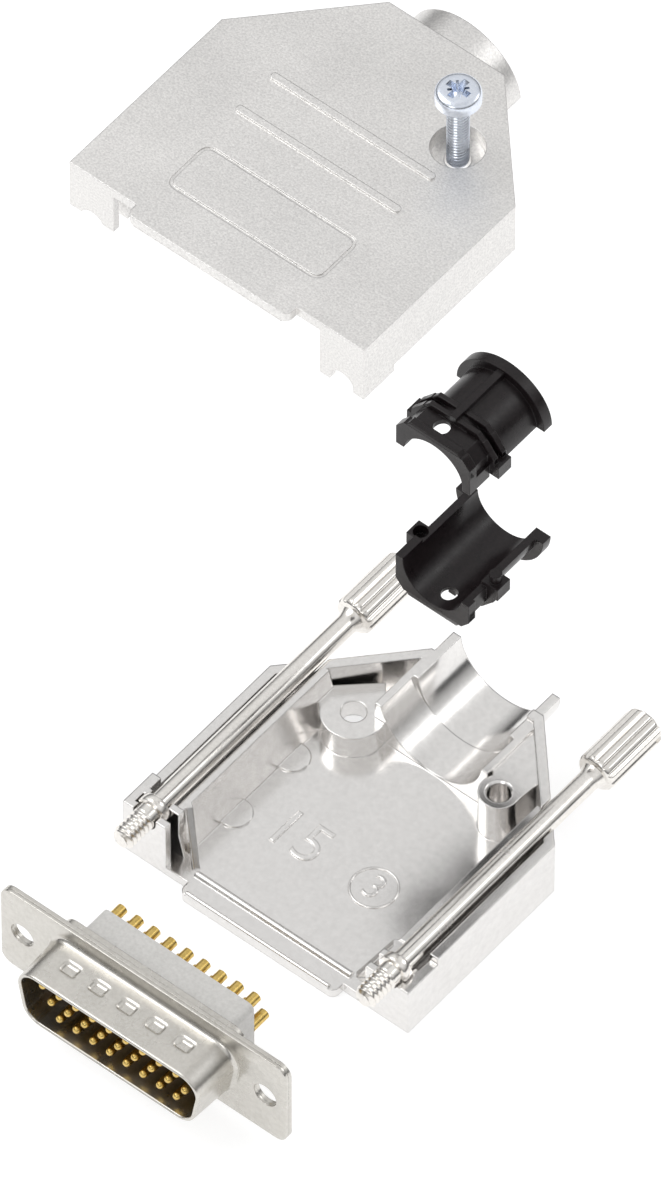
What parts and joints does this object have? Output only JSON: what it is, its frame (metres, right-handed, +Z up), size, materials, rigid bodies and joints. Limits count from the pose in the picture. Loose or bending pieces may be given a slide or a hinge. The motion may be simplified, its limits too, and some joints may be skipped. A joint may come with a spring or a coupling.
{
  "type": "d-sub hood",
  "caption": "Exploded die-cast D-sub hood with cover, cable clamp halves, two thumbscrews, a cover screw and a three-row pin connector.",
  "frame": {"origin": "underside of the lower casting, mid-width, in the plane of its front face, which the connector's flange seats on", "axes": "+X across the hood to the right seen from the connector end with the cover up, +Y towards the cable, +Z up towards the cover"},
  "size_m": [0.0454, 0.0698, 0.1204],
  "materials": {
    "shell_nickel": "bright nickel over a zinc casting",
    "cover_zinc": "satin nickel over a zinc casting, fine matt grain",
    "screw_zinc": "bluish bright zinc",
    "thumbscrew_nickel": "bright nickel over turned metal",
    "clamp_plastic": "glossy black moulding",
    "plug_steel": "tinned pressed steel",
    "insulator_front": "dark moulding",
    "insulator_rear": "black moulding",
    "contact_gold": "gold-plated pins"
  },
  "bodies": {
    "lower_shell": {"lower_shell": "shell_nickel"},
    "thumbscrew_left": {"thumbscrew_left": "thumbscrew_nickel"},
    "thumbscrew_right": {"thumbscrew_right": "thumbscrew_nickel"},
    "clamp_lower": {"clamp_lower": "clamp_plastic"},
    "clamp_upper": {"clamp_upper": "clamp_plastic"},
    "cover": {"cover": "cover_zinc"},
    "cover_screw": {"cover_screw": "screw_zinc"},
    "connector": {"plug_front_shell": "plug_steel", "plug_rear_shell": "plug_steel", "plug_front_insulator": "insulator_front", "plug_rear_insulator": "insulator_rear", "contact_01": "contact_gold", "contact_02": "contact_gold", "contact_03": "contact_gold", "contact_04": "contact_gold", "contact_05": "contact_gold", "contact_06": "contact_gold", "contact_07": "contact_gold", "contact_08": "contact_gold", "contact_09": "contact_gold", "contact_10": "contact_gold", "contact_11": "contact_gold", "contact_12": "contact_gold", "contact_13": "contact_gold", "contact_14": "contact_gold", "contact_15": "contact_gold", "contact_16": "contact_gold", "contact_17": "contact_gold", "contact_18": "contact_gold", "contact_19": "contact_gold", "contact_20": "contact_gold", "contact_21": "contact_gold", "contact_22": "contact_gold", "contact_23": "contact_gold", "contact_24": "contact_gold", "contact_25": "contact_gold", "contact_26": "contact_gold"}
  },
  "joints": [
    {"name": "thumbscrew_left_turn", "type": "hinge", "parent": "lower_shell", "child": "thumbscrew_left", "pos_m": [-0.01665, 0, 0.0075], "axis": [0, 1, 0], "continuous": true},
    {"name": "thumbscrew_right_turn", "type": "hinge", "parent": "lower_shell", "child": "thumbscrew_right", "pos_m": [0.01665, 0, 0.0075], "axis": [0, 1, 0], "continuous": true},
    {"name": "clamp_lower_lift", "type": "slide", "parent": "lower_shell", "child": "clamp_lower", "axis": [0, 0, 1], "range_m": [-0.027, 0]},
    {"name": "clamp_upper_lift", "type": "slide", "parent": "clamp_lower", "child": "clamp_upper", "axis": [0, 0, 1], "range_m": [-0.019, 0]},
    {"name": "cover_lift", "type": "slide", "parent": "clamp_upper", "child": "cover", "axis": [-0.1231, 0, 0.9924], "range_m": [-0.05038, 0]},
    {"name": "cover_screw_draw", "type": "slide", "parent": "cover", "child": "cover_screw", "axis": [0, 0, 1], "range_m": [-0.0096, 0]},
    {"name": "connector_draw", "type": "slide", "parent": "lower_shell", "child": "connector", "axis": [0, -1, 0], "range_m": [-0.01775, 0]}
  ]
}
